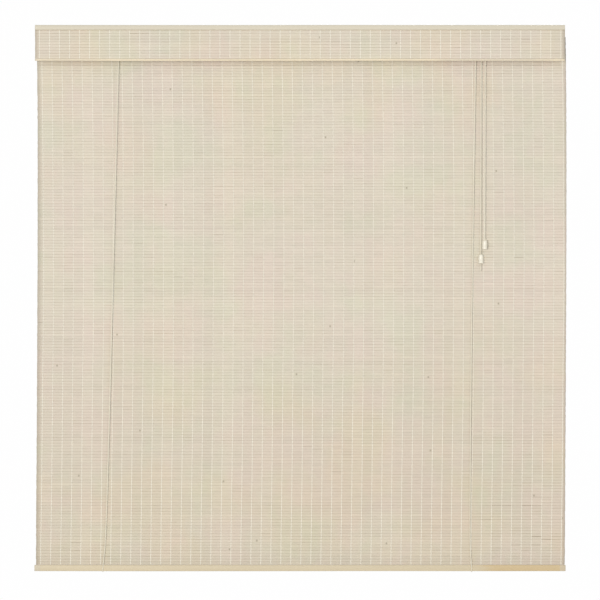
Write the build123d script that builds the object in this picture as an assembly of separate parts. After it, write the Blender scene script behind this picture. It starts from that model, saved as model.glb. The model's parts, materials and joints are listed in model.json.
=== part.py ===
from build123d import *
import math
import os

os.makedirs("parts", exist_ok=True)

# A bamboo roll-up blind with a valance, let right down. Sizes are in millimetres.
# X runs along the blind, its front faces -Y, the wall is the plane Y = 0 and Z is up.
# The origin is on the wall, midway between the two holes of the hanger brackets.
# Two cord loops run from the back of the head, under the bottom batten and up the front.

# Overall
WIDTH = 1200.0  # head batten and valance
DROP = 1237.5  # top of the valance to the underside of the bottom batten
VALANCE_DROP = 81.3
WALL_TO_MAT = 12.0  # wall to the middle of the mat
HOLE_BELOW_TOP = 16.0  # wall holes below the top edge of the valance

# Weave, shared by the mat and the valance
SLAT_PITCH = 6.4
SLAT_GAP = 0.4
SLAT_THICKNESS = 1.2
MAT_INSET = 0.0  # the mat is this much shorter than the head batten at each end
BATTEN_OVERHANG = 2.2  # and the bottom batten this much longer
HEM_SLATS = 2  # held in the bottom batten
THREAD_PITCH = 22.7
THREAD_WIDTH = 1.0
THREAD_THICKNESS = 0.4
THREAD_SEAT = 0.05  # between a thread and the slats it binds
THREAD_MARGIN = 6.0  # least distance from a thread to a slat's end
VALANCE_THREAD_SHIFT = 0.4

# Head batten and what is fixed along it
HEAD_DEPTH = 24.0
HEAD_HEIGHT = 22.0
HEAD_BELOW_TOP = 4.0  # room for the brackets behind the valance strip
VALANCE_STRIP_HEIGHT = 11.0
VALANCE_STRIP_THICKNESS = 2.0
EDGE_REED_DIAMETER = 4.6
BACK_STRIP_THICKNESS = 2.4
BACK_STRIP_SHORT = 1.0  # its edges inside the head batten's top and underside

# Bottom batten
BATTEN_HEIGHT = 14.0
BATTEN_STRIP = 3.0  # thickness of its front strip and of its back strip
BATTEN_EDGE = 1.0  # rounding of the outer edges
HEM_CLEARANCE = 0.3  # round the threads that enter the batten
HEM_ABOVE_EDGE = 2.0  # lowest slat above the batten's underside

# Nails
NAIL_RADIUS = 0.8
NAIL_HEAD_RADIUS = 1.6
NAIL_HEAD = 0.6
NAIL_LENGTH = 16.0
NAIL_COUNT = 7
NAIL_END = 45.0  # outer nails from the ends of the head batten
FIT = 0.05  # radial clearance of a pin, nail, screw or axle in its hole

# Hanger brackets
BRACKET_SPACING = 900.0
BRACKET_WIDTH = 20.0
BRACKET_THICKNESS = 2.0
BRACKET_DROP = 32.0
BRACKET_REACH = 34.0
BRACKET_BEND = 2.5
WALL_HOLE_RADIUS = 2.75
BRACKET_SCREW_FROM_WALL = (19.0, 29.0)

# Screws
SCREW_RADIUS = 1.4
SCREW_HEAD_RADIUS = 2.6
SCREW_HEAD = 1.5
SCREW_LENGTH = 12.0
SCREW_SLOT = 0.6

# Cords
CORD = 2.0  # diameter
CORD_CLEARANCE = 0.3
BIGHT_RADIUS = 2.3  # middle of the cord round the batten's lower edges
LEFT_CORD_INSET = 190.0  # left lift cord at the head, from that end of the head batten
LEFT_CORD_DRIFT = -37.0  # sideways from the head to the bottom batten
LEFT_CORD_BENDS = [(0.08, 9.0), (0.92, 31.5)]  # share of the rise, sideways from the foot
RIGHT_CORD_INSET = 201.0
RIGHT_CORD_DRIFT = -9.6
RIGHT_CORD_BENDS = [(0.06, -4.8), (0.52, 0.2)]
PULL_LENGTH_UPPER = 456.6  # lock axles to the knot in the tassel
PULL_LENGTH_LOWER = 488.7
UPPER_PULL_DRIFT = -1.4
LOWER_PULL_DRIFT = -0.9

# Pulleys and cord lock
SHEAVE = 6.0  # radius at the middle of the cord
FLANGE_OVER_CORD = 0.4
SHEAVE_RIM = 1.0  # thickness of each flange at the cord
AXLE_RADIUS = 1.25
REAR_SHEAVE_Y = -24.0
SHEAVE_TO_SHEAVE = 0.9  # room between the lock's two sheaves
FLANGE_TO_AXLE = 0.35  # room between a sheave and the other one's axle
SIDE_GAP = 0.6  # sheave to housing plate
PLATE = 1.2
HOUSING_ROOM = 0.8  # web to sheave flange
HOUSING_BACK = -13.4
HOUSING_MARGIN = 2.6  # plate edges past the sheave flanges
LOCK_DEPTH = 26.0  # plates below the axles
TRUNNION_RADIUS = 1.2
ROLLER_BELOW_AXLES = 19.0
ROLLER_TRAVEL = 4.5
ROLLER_END_GAP = 0.2
GUIDE_PIN_RADIUS = 1.2
HOUSING_SCREW_Y = -16.6
HOUSING_SCREW_SPAN = 7.0

# Screw eyes that anchor the cords' back ends, and their knots
EYE_RING = 3.2  # radius at the middle of the wire
EYE_WIRE = 0.8  # radius of the wire
EYE_FROM_WALL = 4.9
EYE_SHANK_END = -24.0
KNOT_RADIUS = 3.3

# Tassels
TASSEL_HEIGHT = 20.0
TASSEL_RADIUS = 5.8
TASSEL_TOP_RADIUS = 4.4
TASSEL_WALL = 1.3
TASSEL_CROWN = 5.0  # solid height above the hollow
TASSEL_BORE = 1.5
TASSEL_KNOT_RADIUS = 3.0
TAIL_LENGTHS = {"upper": 9.0, "lower": 27.0}

# Planes and lines that several pieces share
TOP = HOLE_BELOW_TOP
HALF = WIDTH / 2
MAT_Y = -WALL_TO_MAT
HEAD_TOP = TOP - HEAD_BELOW_TOP
HEAD_UNDER = HEAD_TOP - HEAD_HEIGHT
HEAD_BACK = MAT_Y - SLAT_THICKNESS / 2
HEAD_FRONT = HEAD_BACK - HEAD_DEPTH
VALANCE_Y = HEAD_FRONT - SLAT_THICKNESS / 2
BACK_STRIP_FACE = MAT_Y + SLAT_THICKNESS / 2 + BACK_STRIP_THICKNESS
BOTTOM = TOP - DROP
BATTEN_TOP = BOTTOM + BATTEN_HEIGHT
HEM_HALF = SLAT_THICKNESS / 2 + THREAD_SEAT + THREAD_THICKNESS + HEM_CLEARANCE
BATTEN_FRONT = MAT_Y - HEM_HALF - BATTEN_STRIP
BATTEN_BACK = MAT_Y + HEM_HALF + BATTEN_STRIP
MAT_HALF = HALF - MAT_INSET
BACK_STRIP_HEIGHT = HEAD_HEIGHT - 2 * BACK_STRIP_SHORT
SLAT_COUNT = math.floor((HEAD_TOP - 0.5 - BOTTOM - HEM_ABOVE_EDGE) / SLAT_PITCH)
MAT_TOP = BOTTOM + HEM_ABOVE_EDGE + SLAT_COUNT * SLAT_PITCH
HEADER_SLATS = math.floor((MAT_TOP - HEAD_UNDER) / SLAT_PITCH)  # held behind the head batten
HEADER_NAIL_Z = MAT_TOP - ((HEADER_SLATS - 1.5) * SLAT_PITCH - SLAT_GAP / 2)
EYE_Z = MAT_TOP - ((HEADER_SLATS - 0.5) * SLAT_PITCH - SLAT_GAP / 2)
HEM_NAIL_Z = BOTTOM + HEM_ABOVE_EDGE + SLAT_PITCH - SLAT_GAP - 3.0
FLANGE = SHEAVE + CORD / 2 + FLANGE_OVER_CORD
SHEAVE_WIDTH = CORD + 2 * CORD_CLEARANCE + 2 * SHEAVE_RIM
FRONT_SHEAVE_Y = REAR_SHEAVE_Y - SHEAVE_WIDTH - SHEAVE_TO_SHEAVE
AXLE_PITCH = FLANGE + AXLE_RADIUS + FLANGE_TO_AXLE  # between the two axles of the lock
AXLE_Z = HEAD_UNDER - PLATE - HOUSING_ROOM - FLANGE
ROLLER_Z = AXLE_Z - ROLLER_BELOW_AXLES

LEFT_CORD_X = -HALF + LEFT_CORD_INSET
RIGHT_CORD_X = HALF - RIGHT_CORD_INSET
LEFT_AXLE_X = LEFT_CORD_X + SHEAVE
REAR_AXLE_X = RIGHT_CORD_X + SHEAVE
FRONT_AXLE_X = REAR_AXLE_X + AXLE_PITCH
LOWER_PULL_X = REAR_AXLE_X + SHEAVE
UPPER_PULL_X = FRONT_AXLE_X + SHEAVE
ROLLER_X = (LOWER_PULL_X + UPPER_PULL_X) / 2
ROLLER_RADIUS = (UPPER_PULL_X - LOWER_PULL_X - CORD) / 2 - CORD_CLEARANCE
GUIDE_PIN_OUT = CORD / 2 + CORD_CLEARANCE + GUIDE_PIN_RADIUS
FRONT_PLATE_Y = FRONT_SHEAVE_Y - SHEAVE_WIDTH / 2 - SIDE_GAP  # its inner face
SINGLE_PLATE_Y = FRONT_SHEAVE_Y + SHEAVE_WIDTH / 2 + SIDE_GAP
REAR_PLATE_Y = REAR_SHEAVE_Y + SHEAVE_WIDTH / 2 + SIDE_GAP
BIGHT_Z = BOTTOM - CORD_CLEARANCE - CORD / 2
FRONT_RUN_Y = BATTEN_FRONT - CORD_CLEARANCE - CORD / 2
BACK_RUN_Y = BATTEN_BACK + CORD_CLEARANCE + CORD / 2
EYE_Y = -EYE_FROM_WALL
KNOT_Z = EYE_Z + math.sqrt((KNOT_RADIUS + EYE_WIRE + 0.3) ** 2 - EYE_RING**2)
LOOP_TOP = KNOT_Z - KNOT_RADIUS - FIT


def block(x, y, z):
    """A box from three (low, high) pairs."""
    size = [high - low for low, high in (x, y, z)]
    middle = [(high + low) / 2 for low, high in (x, y, z)]
    return Pos(*middle) * Box(*size)


def rod(start, end, radius):
    """A round rod between two points."""
    start, end = Vector(*start), Vector(*end)
    along = end - start
    return extrude(Plane(origin=start, z_dir=along) * Circle(radius), amount=along.length)


def save(name, solids):
    """Writes one node, which may be a group of separate solids."""
    shape = solids[0] if len(solids) == 1 else Compound(list(solids))
    shape.label = name
    export_step(shape, f"parts/{name}.step")


def single(shape):
    """The one solid of a shape that was cut or joined."""
    return shape.solids()[0]


def spread(count, end_inset):
    """Evenly spaced places along the head batten."""
    step = (WIDTH - 2 * end_inset) / (count - 1)
    return [-HALF + end_inset + k * step for k in range(count)]


def slat_z(row):
    """Low and high edge of a mat slat, counted up from the lowest."""
    low = BOTTOM + HEM_ABOVE_EDGE + row * SLAT_PITCH
    return low, low + SLAT_PITCH - SLAT_GAP


def thread_places(half_length, shift):
    """Threads stand evenly about the middle, and none nears a slat's end."""
    reach = half_length - THREAD_MARGIN
    first = math.ceil((-reach - shift) / THREAD_PITCH)
    last = math.floor((reach - shift) / THREAD_PITCH)
    return [shift + k * THREAD_PITCH for k in range(first, last + 1)]


def threads(places, middle_y, low, high):
    """A thread in front of the slats and one behind them at each place."""
    near = SLAT_THICKNESS / 2 + THREAD_SEAT
    far = near + THREAD_THICKNESS
    sides = [(middle_y - far, middle_y - near), (middle_y + near, middle_y + far)]
    half = THREAD_WIDTH / 2
    return [block((x - half, x + half), side, (low, high)) for x in places for side in sides]


def nail(x, z, back_y, length):
    """A nail driven forwards, its head flat on the face at back_y."""
    head = rod((x, back_y, z), (x, back_y + NAIL_HEAD, z), NAIL_HEAD_RADIUS)
    return single(head + rod((x, back_y, z), (x, back_y - length, z), NAIL_RADIUS))


def nail_hole(x, z, back_y, length):
    return rod((x, back_y + 1, z), (x, back_y - length - FIT, z), NAIL_RADIUS + FIT)


def screw(x, y, z, direction):
    """A slotted pan-head screw driven up (+1) or down (-1) from a face at z."""
    outer = z - direction * SCREW_HEAD
    body = rod((x, y, z), (x, y, outer), SCREW_HEAD_RADIUS)
    body += rod((x, y, z), (x, y, z + direction * SCREW_LENGTH), SCREW_RADIUS)
    slot_ends = sorted((outer, outer + direction * SCREW_HEAD / 2))
    slot = block((x - 4, x + 4), (y - SCREW_SLOT / 2, y + SCREW_SLOT / 2), slot_ends)
    return single(body - slot)


def screw_hole(x, y, z, direction):
    reach = SCREW_LENGTH + FIT
    return rod((x, y, z - direction), (x, y, z + direction * reach), SCREW_RADIUS + FIT)


NAIL_PLACES = spread(NAIL_COUNT, NAIL_END)
BRACKET_PLACES = (-BRACKET_SPACING / 2, BRACKET_SPACING / 2)
EYE_PLACES = (LEFT_CORD_X, RIGHT_CORD_X)
HOUSING_SCREW_PLACES = [
    (middle + side * HOUSING_SCREW_SPAN / 2, HOUSING_SCREW_Y)
    for middle in (LEFT_AXLE_X, (REAR_AXLE_X + FRONT_AXLE_X) / 2)
    for side in (-1, 1)
]
BRACKET_SCREW_PLACES = [(x, -y) for x in BRACKET_PLACES for y in BRACKET_SCREW_FROM_WALL]


def head_batten():
    body = block((-HALF, HALF), (HEAD_FRONT, HEAD_BACK), (HEAD_UNDER, HEAD_TOP))
    for x in NAIL_PLACES:
        body -= nail_hole(x, HEADER_NAIL_Z, BACK_STRIP_FACE, NAIL_LENGTH)
    for x in EYE_PLACES:
        body -= eye_hole(x)
    for x, y in HOUSING_SCREW_PLACES:
        body -= screw_hole(x, y, HEAD_UNDER - PLATE, 1)
    for x, y in BRACKET_SCREW_PLACES:
        body -= screw_hole(x, y, HEAD_TOP + BRACKET_THICKNESS, -1)
    save("head_batten", [single(body)])


def eye_hole(x):
    return rod((x, 0, EYE_Z), (x, EYE_SHANK_END - FIT, EYE_Z), EYE_WIRE + FIT)


def mat():
    """The slats, as the part behind the head, the hanging part and the hem."""
    ends = (-MAT_HALF, MAT_HALF)
    thickness = (HEAD_BACK, HEAD_BACK + SLAT_THICKNESS)
    slats = [block(ends, thickness, slat_z(row)) for row in range(SLAT_COUNT)]
    header = []
    for slat in slats[SLAT_COUNT - HEADER_SLATS :]:
        for x in NAIL_PLACES:
            slat -= nail_hole(x, HEADER_NAIL_Z, BACK_STRIP_FACE, NAIL_LENGTH)
        for x in EYE_PLACES:
            slat -= eye_hole(x)
        header.append(single(slat))
    hem = []
    for slat in slats[:HEM_SLATS]:
        for x in NAIL_PLACES:
            slat -= nail_hole(x, HEM_NAIL_Z, BATTEN_BACK, BATTEN_BACK - BATTEN_FRONT)
        hem.append(single(slat))
    save("mat_header_slats", header)
    save("mat_slats", slats[HEM_SLATS : SLAT_COUNT - HEADER_SLATS])
    save("mat_hem_slats", hem)
    low = slat_z(HEM_SLATS)[0]
    high = min(slat_z(SLAT_COUNT - HEADER_SLATS - 1)[1], HEAD_UNDER)
    save("mat_threads", threads(thread_places(MAT_HALF, 0.0), MAT_Y, low, high))


def back_strip():
    high = HEAD_TOP - BACK_STRIP_SHORT
    low_face = BACK_STRIP_FACE - BACK_STRIP_THICKNESS
    body = block(
        (-MAT_HALF, MAT_HALF), (low_face, BACK_STRIP_FACE), (high - BACK_STRIP_HEIGHT, high)
    )
    for x in NAIL_PLACES:
        body -= nail_hole(x, HEADER_NAIL_Z, BACK_STRIP_FACE, NAIL_LENGTH)
    for x in EYE_PLACES:
        body -= eye_hole(x)
    save("mat_back_strip", [single(body)])
    nails = [nail(x, HEADER_NAIL_Z, BACK_STRIP_FACE, NAIL_LENGTH) for x in NAIL_PLACES]
    save("mat_nails", nails)


def valance():
    """A short mat on the front of the head, with a strip above and a reed below."""
    low = TOP - VALANCE_DROP
    reed_top = low + EDGE_REED_DIAMETER
    count = math.floor((TOP - reed_top) / SLAT_PITCH)
    first = reed_top + SLAT_GAP
    slats = []
    for row in range(count):
        z = first + row * SLAT_PITCH
        y = (HEAD_FRONT - SLAT_THICKNESS, HEAD_FRONT)
        slats.append(block((-HALF, HALF), y, (z, z + SLAT_PITCH - SLAT_GAP)))
    save("valance_slats", slats)
    strip_low = TOP - VALANCE_STRIP_HEIGHT
    face = HEAD_FRONT - SLAT_THICKNESS
    strip = block((-HALF, HALF), (face - VALANCE_STRIP_THICKNESS, face), (strip_low, TOP))
    save("valance_strip", [strip])
    reed_z = low + EDGE_REED_DIAMETER / 2
    ends = [(side * HALF, VALANCE_Y, reed_z) for side in (-1, 1)]
    save("valance_edge_reed", [rod(*ends, EDGE_REED_DIAMETER / 2)])
    places = thread_places(HALF, VALANCE_THREAD_SHIFT)
    bound = threads(places, VALANCE_Y, first, min(strip_low, HEAD_UNDER) - SLAT_GAP)
    save("valance_threads", bound)


def bottom_batten():
    """Two strips nailed together over the last slats."""
    half = HALF + BATTEN_OVERHANG
    inner = SLAT_THICKNESS / 2
    for name, sign in (("bottom_batten_front", -1), ("bottom_batten_back", 1)):
        outer_y = MAT_Y + sign * (HEM_HALF + BATTEN_STRIP)
        strip = block(
            (-half, half), sorted((MAT_Y + sign * inner, outer_y)), (BOTTOM, BATTEN_TOP)
        )
        relief = block(
            (-half, half),
            sorted((MAT_Y + sign * inner, MAT_Y + sign * HEM_HALF)),
            (slat_z(HEM_SLATS - 1)[1] - 2 * HEM_CLEARANCE, BATTEN_TOP),
        )
        strip = single(strip - relief)
        edges = [
            e
            for e in strip.edges().filter_by(Axis.X)
            if abs(e.center().Y - outer_y) < 0.01
        ]
        strip = fillet(edges, BATTEN_EDGE)
        for x in NAIL_PLACES:
            strip -= nail_hole(x, HEM_NAIL_Z, BATTEN_BACK, batten_nail_length())
        save(name, [single(strip)])
    nails = [nail(x, HEM_NAIL_Z, BATTEN_BACK, batten_nail_length()) for x in NAIL_PLACES]
    save("bottom_batten_nails", nails)


def batten_nail_length():
    """The nails stop inside the front strip."""
    return BATTEN_BACK - BATTEN_FRONT - BATTEN_STRIP / 3


def brackets():
    """Two bent steel angles: a leg on the head batten and a leg on the wall."""
    over = HEAD_TOP + BRACKET_THICKNESS
    for name, x in zip(("hanger_bracket_left", "hanger_bracket_right"), BRACKET_PLACES):
        ends = (x - BRACKET_WIDTH / 2, x + BRACKET_WIDTH / 2)
        body = block(ends, (-BRACKET_REACH, 0), (HEAD_TOP, over))
        body += block(ends, (-BRACKET_THICKNESS, 0), (over - BRACKET_DROP, over))
        corner = [
            e
            for e in body.edges().filter_by(Axis.X)
            if abs(e.center().Y) < 0.01 and abs(e.center().Z - over) < 0.01
        ]
        body = fillet(corner, BRACKET_BEND)
        body -= rod((x, -2 * BRACKET_THICKNESS, 0), (x, 1, 0), WALL_HOLE_RADIUS)
        for y in BRACKET_SCREW_FROM_WALL:
            body -= screw_hole(x, -y, over, -1)
        save(name, [single(body)])
    save("bracket_screws", [screw(x, y, over, -1) for x, y in BRACKET_SCREW_PLACES])


def sheave(x, y):
    """A grooved wheel on an axle along Y."""
    turn = Pos(x, y, AXLE_Z) * Rot(90, 0, 0)
    groove = CORD / 2 + CORD_CLEARANCE
    wheel = Cylinder(FLANGE, SHEAVE_WIDTH) - Cylinder(AXLE_RADIUS + FIT, SHEAVE_WIDTH + 1)
    wheel -= Torus(SHEAVE, groove)
    wheel -= Cylinder(FLANGE + 1, 2 * groove) - Cylinder(SHEAVE, 2 * groove)
    return single(turn * wheel)


def plates(x, faces_y, depth, screws_x):
    """A pressed housing: a web screwed under the head batten and two plates."""
    front, rear = faces_y
    under = HEAD_UNDER - PLATE
    body = block(x, (front - PLATE, HOUSING_BACK), (under, HEAD_UNDER))
    for inner, outer in ((front, front - PLATE), (rear, rear + PLATE)):
        body += block(x, sorted((inner, outer)), (AXLE_Z - depth, HEAD_UNDER))
    for place in screws_x:
        body -= screw_hole(place, HOUSING_SCREW_Y, under, 1)
    return body


def axle(x, faces_y, radius=AXLE_RADIUS, z=AXLE_Z):
    front, rear = faces_y
    return rod((x, front - PLATE, z), (x, rear + PLATE, z), radius)


def pulley_and_lock():
    reach = FLANGE + HOUSING_MARGIN
    screw_x = [x for x, _ in HOUSING_SCREW_PLACES]

    faces = (FRONT_PLATE_Y, SINGLE_PLATE_Y)
    ends = (LEFT_AXLE_X - reach, LEFT_AXLE_X + reach)
    housing = plates(ends, faces, reach, screw_x[:2])
    housing -= axle(LEFT_AXLE_X, faces, AXLE_RADIUS + FIT)
    save("left_pulley_housing", [single(housing)])
    save("left_pulley_wheel", [sheave(LEFT_AXLE_X, FRONT_SHEAVE_Y)])
    save("left_pulley_axle", [axle(LEFT_AXLE_X, faces)])

    faces = (FRONT_PLATE_Y, REAR_PLATE_Y)
    ends = (REAR_AXLE_X - reach, FRONT_AXLE_X + reach)
    housing = plates(ends, faces, LOCK_DEPTH, screw_x[2:])
    for x in (REAR_AXLE_X, FRONT_AXLE_X):
        housing -= axle(x, faces, AXLE_RADIUS + FIT)
    pins = [LOWER_PULL_X - GUIDE_PIN_OUT, UPPER_PULL_X + GUIDE_PIN_OUT]
    for x in pins:
        housing -= axle(x, faces, GUIDE_PIN_RADIUS + FIT, ROLLER_Z)
    slot = TRUNNION_RADIUS + 2 * FIT
    for z in (ROLLER_Z, ROLLER_Z + ROLLER_TRAVEL):
        housing -= axle(ROLLER_X, faces, slot, z)
    housing -= block(
        (ROLLER_X - slot, ROLLER_X + slot),
        (FRONT_PLATE_Y - PLATE, REAR_PLATE_Y + PLATE),
        (ROLLER_Z, ROLLER_Z + ROLLER_TRAVEL),
    )
    save("cord_lock_housing", [single(housing)])
    save("lock_rear_wheel", [sheave(REAR_AXLE_X, REAR_SHEAVE_Y)])
    save("lock_front_wheel", [sheave(FRONT_AXLE_X, FRONT_SHEAVE_Y)])
    save("lock_axles", [axle(x, faces) for x in (REAR_AXLE_X, FRONT_AXLE_X)])
    save("lock_guide_pins", [axle(x, faces, GUIDE_PIN_RADIUS, ROLLER_Z) for x in pins])
    roller = axle(ROLLER_X, faces, TRUNNION_RADIUS, ROLLER_Z)
    ends = (faces[0] + ROLLER_END_GAP, faces[1] - ROLLER_END_GAP)
    roller += rod(*[(ROLLER_X, y, ROLLER_Z) for y in ends], ROLLER_RADIUS)
    save("lock_roller", [single(roller)])
    screws = [screw(x, y, HEAD_UNDER - PLATE, 1) for x, y in HOUSING_SCREW_PLACES]
    save("housing_screws", screws)


def screw_eyes():
    """The eyes behind the head, and the knots that sit on them."""
    eyes = []
    for x in EYE_PLACES:
        ring = Pos(x, EYE_Y, EYE_Z) * Torus(EYE_RING, EYE_WIRE)
        ring += rod((x, EYE_Y - EYE_RING, EYE_Z), (x, EYE_SHANK_END, EYE_Z), EYE_WIRE)
        eyes.append(single(ring))
    save("screw_eyes", eyes)
    knots = [Pos(x, EYE_Y, KNOT_Z) * Sphere(KNOT_RADIUS) for x in EYE_PLACES]
    save("anchor_knots", knots)


def cord(points, radii):
    """A round cord along straight runs joined by arcs."""
    path = FilletPolyline(*points, radius=radii) if radii else Line(*points)
    section = Plane(origin=path @ 0, z_dir=path % 0) * Circle(CORD / 2)
    tube = single(sweep(section, path=path))
    share = tube.volume / (math.pi * (CORD / 2) ** 2 * path.length)
    turns = ", ".join(f"{r:.1f}" for r in radii) or "straight"
    print(f"cord of {path.length:.1f} mm, radii {turns}, volume over section x length {share:.4f}")
    return tube


def gentle(points):
    """The widest arc at each inner corner: 0.45 of the shorter run over tan(turn / 2)."""
    found = []
    for a, b, c in zip(points, points[1:], points[2:]):
        one, two = Vector(*b) - Vector(*a), Vector(*c) - Vector(*b)
        half_turn = math.radians(one.get_angle(two)) / 2
        found.append(0.45 * min(one.length, two.length) / math.tan(half_turn))
    return found


def lift_loop(name, top_x, drift, sheave_y, bends):
    """From the knot behind the head, down the back, under the batten and up the front."""
    foot_x = top_x + drift
    back = [(top_x, EYE_Y, LOOP_TOP), (foot_x, BACK_RUN_Y, BIGHT_Z)]
    front = [(foot_x, FRONT_RUN_Y, BIGHT_Z)]
    run = AXLE_Z - BIGHT_Z
    for share, aside in bends:
        y = FRONT_RUN_Y + share * (sheave_y - FRONT_RUN_Y)
        front.append((foot_x + aside, y, BIGHT_Z + share * run))
    front.append((top_x, sheave_y, AXLE_Z))
    radii = [BIGHT_RADIUS, BIGHT_RADIUS] + gentle(front)
    save(name, [cord(back + front, radii)])


def quarter(x, y, start, turn):
    """An arc over a sheave, in the XZ plane."""
    return [
        (x + SHEAVE * math.cos(math.radians(a)), y, AXLE_Z + SHEAVE * math.sin(math.radians(a)))
        for a in (start, start + turn / 2, start + turn)
    ]


def head_cords():
    """The stretches over the sheaves: one short, one along the whole head."""
    over = ThreePointArc(*quarter(REAR_AXLE_X, REAR_SHEAVE_Y, 180, -180))
    section = Plane(origin=over @ 0, z_dir=over % 0) * Circle(CORD / 2)
    save("right_head_cord", [single(sweep(section, path=over))])
    rise = ThreePointArc(*quarter(LEFT_AXLE_X, FRONT_SHEAVE_Y, 180, -90))
    fall = ThreePointArc(*quarter(FRONT_AXLE_X, FRONT_SHEAVE_Y, 90, -90))
    path = Wire([rise, Line(rise @ 1, fall @ 0), fall])
    section = Plane(origin=path @ 0, z_dir=path % 0) * Circle(CORD / 2)
    save("left_head_cord", [single(sweep(section, path=path))])


def pull(which, x, y, drift, length):
    """A hanging cord, its tassel and the knot that carries the tassel."""
    foot = (x + drift, y, AXLE_Z - length)
    save(f"pull_cord_{which}", [cord([(x, y, AXLE_Z), foot], [])])
    knot_z = foot[2] - FIT - TASSEL_KNOT_RADIUS
    knot = Pos(foot[0], y, knot_z) * Sphere(TASSEL_KNOT_RADIUS)
    tail_end = knot_z - TASSEL_KNOT_RADIUS - TAIL_LENGTHS[which]
    knot += rod((foot[0], y, knot_z), (foot[0], y, tail_end), CORD / 2)
    save(f"tassel_knot_{which}", [single(knot)])
    shoulder = knot_z + math.sqrt(TASSEL_KNOT_RADIUS**2 - TASSEL_BORE**2) + FIT
    top = shoulder + TASSEL_CROWN
    inner = TASSEL_RADIUS - TASSEL_WALL
    drop = top - TASSEL_HEIGHT
    with BuildPart() as bell:
        with BuildSketch(Plane.XZ):
            with BuildLine():
                Polyline(
                    (TASSEL_BORE, shoulder),
                    (TASSEL_BORE, top),
                    (TASSEL_TOP_RADIUS - 1.0, top),
                )
                ThreePointArc(
                    (TASSEL_TOP_RADIUS - 1.0, top),
                    (TASSEL_TOP_RADIUS - 0.2, top - 0.5),
                    (TASSEL_TOP_RADIUS, top - 1.4),
                )
                Polyline(
                    (TASSEL_TOP_RADIUS, top - 1.4),
                    (TASSEL_RADIUS, top - TASSEL_CROWN),
                    (TASSEL_RADIUS, drop),
                    (inner, drop),
                    (inner, shoulder),
                    (TASSEL_BORE, shoulder),
                )
            make_face()
        revolve(axis=Axis.Z)
    save(f"tassel_{which}", [single(Pos(foot[0], y, 0) * bell.part)])


head_batten()
mat()
back_strip()
valance()
bottom_batten()
brackets()
pulley_and_lock()
screw_eyes()
lift_loop("lift_cord_left", LEFT_CORD_X, LEFT_CORD_DRIFT, FRONT_SHEAVE_Y, LEFT_CORD_BENDS)
lift_loop("lift_cord_right", RIGHT_CORD_X, RIGHT_CORD_DRIFT, REAR_SHEAVE_Y, RIGHT_CORD_BENDS)
head_cords()
pull("upper", UPPER_PULL_X, FRONT_SHEAVE_Y, UPPER_PULL_DRIFT, PULL_LENGTH_UPPER)
pull("lower", LOWER_PULL_X, REAR_SHEAVE_Y, LOWER_PULL_DRIFT, PULL_LENGTH_LOWER)
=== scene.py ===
"""A bamboo roll-up blind, let right down, with its valance, lift cords and tasselled pull cords.

Run as a script. Every length is in metres. X runs along the blind, the front faces -Y, Z is up.
"""

import json
import math

import bpy
import numpy as np
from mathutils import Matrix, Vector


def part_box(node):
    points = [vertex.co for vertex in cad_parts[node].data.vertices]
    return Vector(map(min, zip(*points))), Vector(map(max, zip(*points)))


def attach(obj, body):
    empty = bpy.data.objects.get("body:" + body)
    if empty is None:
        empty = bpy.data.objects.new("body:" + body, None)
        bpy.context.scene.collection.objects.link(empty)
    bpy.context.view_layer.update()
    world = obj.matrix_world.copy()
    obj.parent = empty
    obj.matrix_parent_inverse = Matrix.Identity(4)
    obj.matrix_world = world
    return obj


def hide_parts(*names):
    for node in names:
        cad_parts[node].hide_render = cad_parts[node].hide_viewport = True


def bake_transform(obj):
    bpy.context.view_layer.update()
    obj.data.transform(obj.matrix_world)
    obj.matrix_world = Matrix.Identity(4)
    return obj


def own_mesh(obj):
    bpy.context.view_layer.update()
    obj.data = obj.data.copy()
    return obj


bl_info = {
    "name": "Bamboo roll-up blind",
    "version": (1, 0, 0),
    "blender": (4, 5, 0),
    "location": "3D Viewport > Sidebar > Blind",
    "description": "Weaves, strings and finishes a bamboo roll-up blind on its frame",
    "category": "Object",
}

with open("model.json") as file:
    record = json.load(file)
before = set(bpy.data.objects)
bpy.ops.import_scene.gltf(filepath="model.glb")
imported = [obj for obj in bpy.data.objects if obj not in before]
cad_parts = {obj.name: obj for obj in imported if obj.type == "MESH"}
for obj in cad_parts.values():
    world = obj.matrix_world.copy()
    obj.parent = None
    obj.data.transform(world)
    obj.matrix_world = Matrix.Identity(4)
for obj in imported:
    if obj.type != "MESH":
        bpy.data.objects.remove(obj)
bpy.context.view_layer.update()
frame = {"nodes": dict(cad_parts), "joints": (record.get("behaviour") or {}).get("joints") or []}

MM = 0.001
HEAD, BATTEN = "head", "bottom_batten"
MAT_LOW, MAT_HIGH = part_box("mat_slats")
VALANCE_LOW, VALANCE_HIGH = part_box("valance_slats")
HEAD_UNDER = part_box("head_batten")[0][2]
TOP_EDGE = VALANCE_HIGH[2] + 4.6 * MM  # of the whole blind
RISE = next(joint["range_m"][1] for joint in frame["joints"] if joint["name"] == "raise")
MAT_HELD_AT = -10.3 * MM  # where the mat is clamped to the head

SLAT_PITCH = 6.4 * MM
SLAT_GAP = 0.4 * MM
SLAT_HALF_DEPTH = 0.6 * MM
STRAND_HALF_DEPTH = 0.24 * MM
STRAND_OFFSET = 0.86 * MM  # from the middle of the slats
STRAND_LEAN = 0.22 * MM
STRAND_REACH = 0.41  # of the slat pitch, above and below the middle of a slat
BRAID_STEP = 1.7 * MM  # between the rings of a cord's skin
BRAID_LAY = 6.8 * MM  # one full turn of its strands
KNOT_STEP = 0.8 * MM


# ---------------- settings


def length(name, description, default, least, **more):
    return bpy.props.FloatProperty(
        name=name, description=description, default=default, min=least, precision=5, unit="LENGTH", **more
    )


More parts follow.
